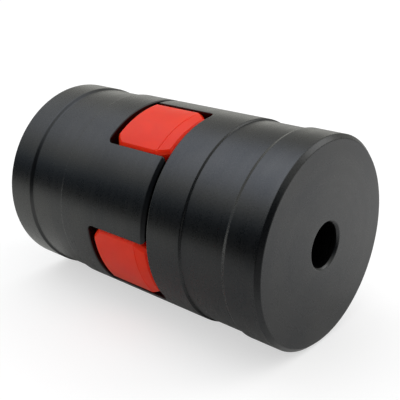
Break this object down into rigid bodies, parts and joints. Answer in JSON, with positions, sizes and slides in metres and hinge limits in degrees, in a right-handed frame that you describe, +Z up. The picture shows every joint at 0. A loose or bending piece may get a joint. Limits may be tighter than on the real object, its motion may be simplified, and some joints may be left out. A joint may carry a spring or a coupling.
{
  "type": "jaw coupling",
  "caption": "Jaw coupling for joining two shafts in line: blackened steel hubs whose interlocking jaws drive through the arms of a red elastic spider.",
  "frame": {"origin": "middle of the coupling, on the axis of the shafts", "axes": "+X along the shafts from the drive hub to the driven hub, +Z up with the coupling lying on its side"},
  "size_m": [0.066, 0.04, 0.04],
  "materials": {
    "blackened_steel": "turned and chemically blackened, satin",
    "red_polyurethane": "moulded, satin"
  },
  "bodies": {
    "drive_hub": {"drive_hub": "blackened_steel"},
    "spider": {"spider": "red_polyurethane"},
    "driven_hub": {"driven_hub": "blackened_steel"}
  },
  "joints": [
    {"name": "spider_twist", "type": "hinge", "parent": "drive_hub", "child": "spider", "pos_m": [0, 0, 0], "axis": [1, 0, 0], "range_deg": [-0.5, 0.5]},
    {"name": "driven_hub_slide", "type": "slide", "parent": "spider", "child": "driven_hub", "axis": [1, 0, 0], "range_m": [0, 0.016]}
  ]
}
